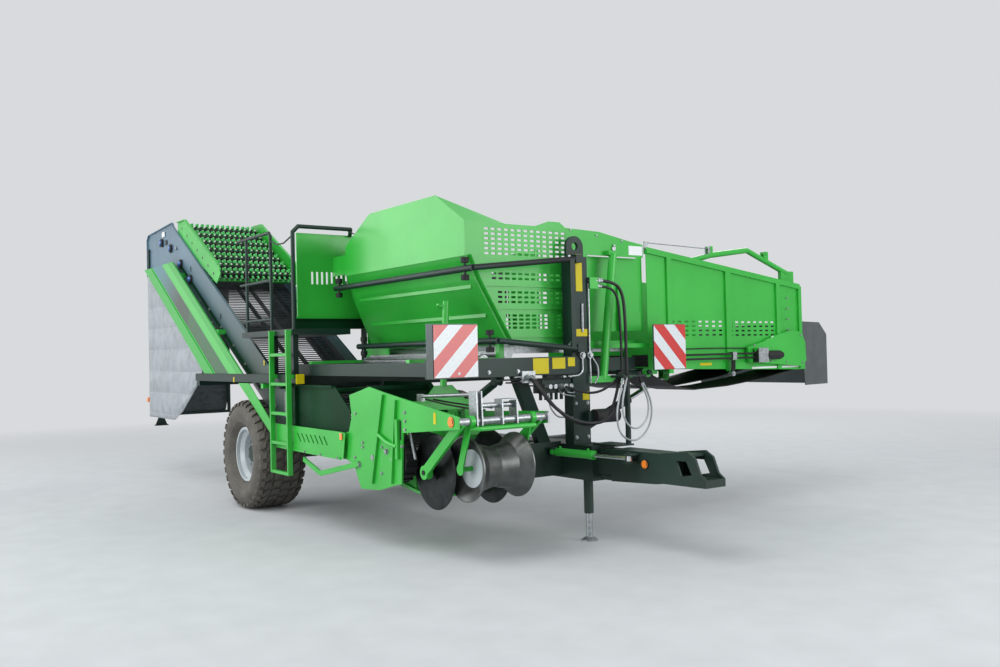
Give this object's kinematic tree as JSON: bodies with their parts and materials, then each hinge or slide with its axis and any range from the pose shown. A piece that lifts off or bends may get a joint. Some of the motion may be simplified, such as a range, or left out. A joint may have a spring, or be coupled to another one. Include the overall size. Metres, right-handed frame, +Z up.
{
  "type": "trailed potato harvester",
  "caption": "Towed root crop harvester with a side digging unit, inclined web, roller cleaner, bunker and a folding discharge trough on a two-wheel chassis.",
  "frame": {"origin": "ground level, under the middle of the machine's box without its free cords", "axes": "+X forward towards the drawbar, +Y to the machine's left, +Z up"},
  "size_m": [9.515, 5.55, 3.56],
  "materials": {
    "black_rubber": "matte",
    "board_foil": "matte",
    "chrome_rod": "polished",
    "dark_paint": "satin",
    "finger_rubber": "matte",
    "green_paint": "gloss",
    "grey_canvas": "matte",
    "raw_steel": "satin",
    "rim_paint": "satin",
    "slate_paint": "satin",
    "tyre_rubber": "matte",
    "zinc_steel": "satin"
  },
  "bodies": {
    "chassis": {"axle_beam": "dark_paint", "boards": "board_foil", "bunker": "green_paint", "bunker_floor": "dark_paint", "bunker_hood": "green_paint", "curtain_rear": "grey_canvas", "curtain_side": "grey_canvas", "guard_rail": "dark_paint", "hoses_high": "black_rubber", "hoses_parked": "black_rubber", "hydraulics": "dark_paint", "intake_sides": "dark_paint", "ladder": "green_paint", "main_frame": "dark_paint", "main_web": "black_rubber", "pivot_pins": "dark_paint", "platform": "slate_paint", "railing": "dark_paint", "rear_frame": "dark_paint", "roller_bed_frame": "green_paint", "side_cover": "green_paint", "transfer_belt": "black_rubber", "transfer_channel": "dark_paint", "web_channel": "slate_paint", "wheel_guard": "slate_paint"},
    "wheel_right": {"tyre_right": "tyre_rubber", "rim_right": "rim_paint"},
    "wheel_left": {"tyre_left": "tyre_rubber", "rim_left": "rim_paint"},
    "drawbar": {"drawbar": "dark_paint"},
    "steer_tube": {"steer_tube": "green_paint"},
    "steer_rod": {"steer_rod": "chrome_rod"},
    "jack": {"jack_leg": "chrome_rod"},
    "dig_unit": {"dig_frame": "green_paint", "dig_web": "black_rubber", "depth_brackets": "zinc_steel"},
    "dig_web_roller_front": {"dig_web_roller_front": "zinc_steel"},
    "dig_web_roller_rear": {"dig_web_roller_rear": "zinc_steel"},
    "lift_tube": {"lift_tube": "green_paint"},
    "lift_rod": {"lift_rod": "chrome_rod"},
    "disc_right": {"disc_right": "raw_steel"},
    "disc_left": {"disc_left": "raw_steel"},
    "haulm_roller": {"haulm_roller": "black_rubber"},
    "roller_arm": {"roller_arm": "green_paint"},
    "diabolo_roller": {"diabolo_roller": "raw_steel"},
    "trough": {"trough": "green_paint", "trough_belt": "black_rubber", "trough_flap": "black_rubber", "trough_gear": "dark_paint"},
    "trough_tube": {"trough_tube": "green_paint"},
    "trough_rod": {"trough_rod": "chrome_rod"},
    "web_roller_low": {"web_roller_low": "zinc_steel"},
    "web_roller_top": {"web_roller_top": "zinc_steel"},
    "bed_roller_1": {"bed_roller_1": "finger_rubber"},
    "bed_roller_2": {"bed_roller_2": "finger_rubber"},
    "bed_roller_3": {"bed_roller_3": "finger_rubber"},
    "bed_roller_4": {"bed_roller_4": "finger_rubber"},
    "bed_roller_5": {"bed_roller_5": "finger_rubber"},
    "bed_roller_6": {"bed_roller_6": "finger_rubber"},
    "bed_roller_7": {"bed_roller_7": "finger_rubber"}
  },
  "joints": [
    {"name": "wheel_right_spin", "type": "hinge", "parent": "chassis", "child": "wheel_right", "pos_m": [-0.6075, -2.495, 0.6], "axis": [0, 1, 0], "continuous": true},
    {"name": "wheel_left_spin", "type": "hinge", "parent": "chassis", "child": "wheel_left", "pos_m": [-0.6075, -0.055, 0.6], "axis": [0, 1, 0], "continuous": true},
    {"name": "drawbar_steer", "type": "hinge", "parent": "chassis", "child": "drawbar", "pos_m": [3.6225, -1.045, 0.69], "axis": [0, 0, 1], "range_deg": [-20, 20]},
    {"name": "steer_tube_swing", "type": "hinge", "parent": "chassis", "child": "steer_tube", "pos_m": [3.1225, -1.305, 0.78], "axis": [0, 0, 1], "range_deg": [-12, 12]},
    {"name": "steer_rod_slide", "type": "slide", "parent": "steer_tube", "child": "steer_rod", "axis": [0.9969, 0.0784, 0], "range_m": [-0.1, 0.1]},
    {"name": "jack_slide", "type": "slide", "parent": "chassis", "child": "jack", "axis": [0, 0, 1], "range_m": [0, 0.18]},
    {"name": "dig_lift", "type": "hinge", "parent": "chassis", "child": "dig_unit", "pos_m": [1.6925, -2.175, 0.86], "axis": [0, 1, 0], "range_deg": [-3, 14]},
    {"name": "lift_tube_swing", "type": "hinge", "parent": "chassis", "child": "lift_tube", "pos_m": [3.1625, -1.925, 1.42], "axis": [0, 1, 0], "range_deg": [-25, 25]},
    {"name": "lift_rod_slide", "type": "slide", "parent": "lift_tube", "child": "lift_rod", "axis": [-0.9031, 0, -0.4294], "range_m": [-0.05, 0.12]},
    {"name": "roller_arm_swing", "type": "hinge", "parent": "dig_unit", "child": "roller_arm", "pos_m": [3.6525, -2.175, 1.14], "axis": [0, 1, 0], "range_deg": [-6, 8]},
    {"name": "diabolo_spin", "type": "hinge", "parent": "roller_arm", "child": "diabolo_roller", "pos_m": [3.4925, -2.105, 0.76], "axis": [0, 1, 0], "continuous": true},
    {"name": "disc_right_spin", "type": "hinge", "parent": "dig_unit", "child": "disc_right", "pos_m": [3.0925, -2.545, 0.71], "axis": [0, 1, 0], "continuous": true},
    {"name": "disc_left_spin", "type": "hinge", "parent": "dig_unit", "child": "disc_left", "pos_m": [3.0925, -1.775, 0.71], "axis": [0, 1, 0], "continuous": true},
    {"name": "haulm_roller_spin", "type": "hinge", "parent": "dig_unit", "child": "haulm_roller", "pos_m": [2.6825, -2.595, 0.79], "axis": [0, 1, 0], "continuous": true},
    {"name": "dig_web_front_spin", "type": "hinge", "parent": "dig_unit", "child": "dig_web_roller_front", "pos_m": [2.3525, -2.175, 0.78], "axis": [0, 1, 0], "continuous": true},
    {"name": "dig_web_rear_spin", "type": "hinge", "parent": "dig_unit", "child": "dig_web_roller_rear", "pos_m": [1.6925, -2.175, 0.86], "axis": [0, 1, 0], "continuous": true},
    {"name": "web_low_spin", "type": "hinge", "parent": "chassis", "child": "web_roller_low", "pos_m": [1.3825, -2.045, 0.815], "axis": [0, 1, 0], "continuous": true},
    {"name": "web_top_spin", "type": "hinge", "parent": "chassis", "child": "web_roller_top", "pos_m": [-3.3875, -2.045, 3.19], "axis": [0, 1, 0], "continuous": true},
    {"name": "trough_lift", "type": "hinge", "parent": "chassis", "child": "trough", "pos_m": [2.2925, -0.045, 1.44], "axis": [1, 0, 0], "range_deg": [-8, 35]},
    {"name": "trough_tube_swing", "type": "hinge", "parent": "chassis", "child": "trough_tube", "pos_m": [2.3925, -0.535, 0.8], "axis": [1, 0, 0], "range_deg": [-8, 25]},
    {"name": "trough_rod_slide", "type": "slide", "parent": "trough_tube", "child": "trough_rod", "axis": [0, 0.9223, 0.3865], "range_m": [-0.06, 0.2]},
    {"name": "bed_roller_1_spin", "type": "hinge", "parent": "chassis", "child": "bed_roller_1", "pos_m": [-3.1675, -2.045, 3.43], "axis": [0, 1, 0], "continuous": true},
    {"name": "bed_roller_2_spin", "type": "hinge", "parent": "chassis", "child": "bed_roller_2", "pos_m": [-2.96378, -2.045, 3.31286], "axis": [0, 1, 0], "continuous": true},
    {"name": "bed_roller_3_spin", "type": "hinge", "parent": "chassis", "child": "bed_roller_3", "pos_m": [-2.76005, -2.045, 3.19572], "axis": [0, 1, 0], "continuous": true},
    {"name": "bed_roller_4_spin", "type": "hinge", "parent": "chassis", "child": "bed_roller_4", "pos_m": [-2.55633, -2.045, 3.07858], "axis": [0, 1, 0], "continuous": true},
    {"name": "bed_roller_5_spin", "type": "hinge", "parent": "chassis", "child": "bed_roller_5", "pos_m": [-2.35261, -2.045, 2.96144], "axis": [0, 1, 0], "continuous": true},
    {"name": "bed_roller_6_spin", "type": "hinge", "parent": "chassis", "child": "bed_roller_6", "pos_m": [-2.14889, -2.045, 2.8443], "axis": [0, 1, 0], "continuous": true},
    {"name": "bed_roller_7_spin", "type": "hinge", "parent": "chassis", "child": "bed_roller_7", "pos_m": [-1.94516, -2.045, 2.72716], "axis": [0, 1, 0], "continuous": true}
  ],
  "couplings": [
    {"joint": "steer_tube_swing", "follows": "drawbar_steer", "ratio": 0.4179},
    {"joint": "steer_rod_slide", "follows": "drawbar_steer", "m_per_rad": 0.2192},
    {"joint": "lift_tube_swing", "follows": "dig_lift", "ratio": -1.2034},
    {"joint": "lift_rod_slide", "follows": "dig_lift", "m_per_rad": 0.3043},
    {"joint": "trough_tube_swing", "follows": "trough_lift", "ratio": 0.5233},
    {"joint": "trough_rod_slide", "follows": "trough_lift", "m_per_rad": 0.3123}
  ]
}
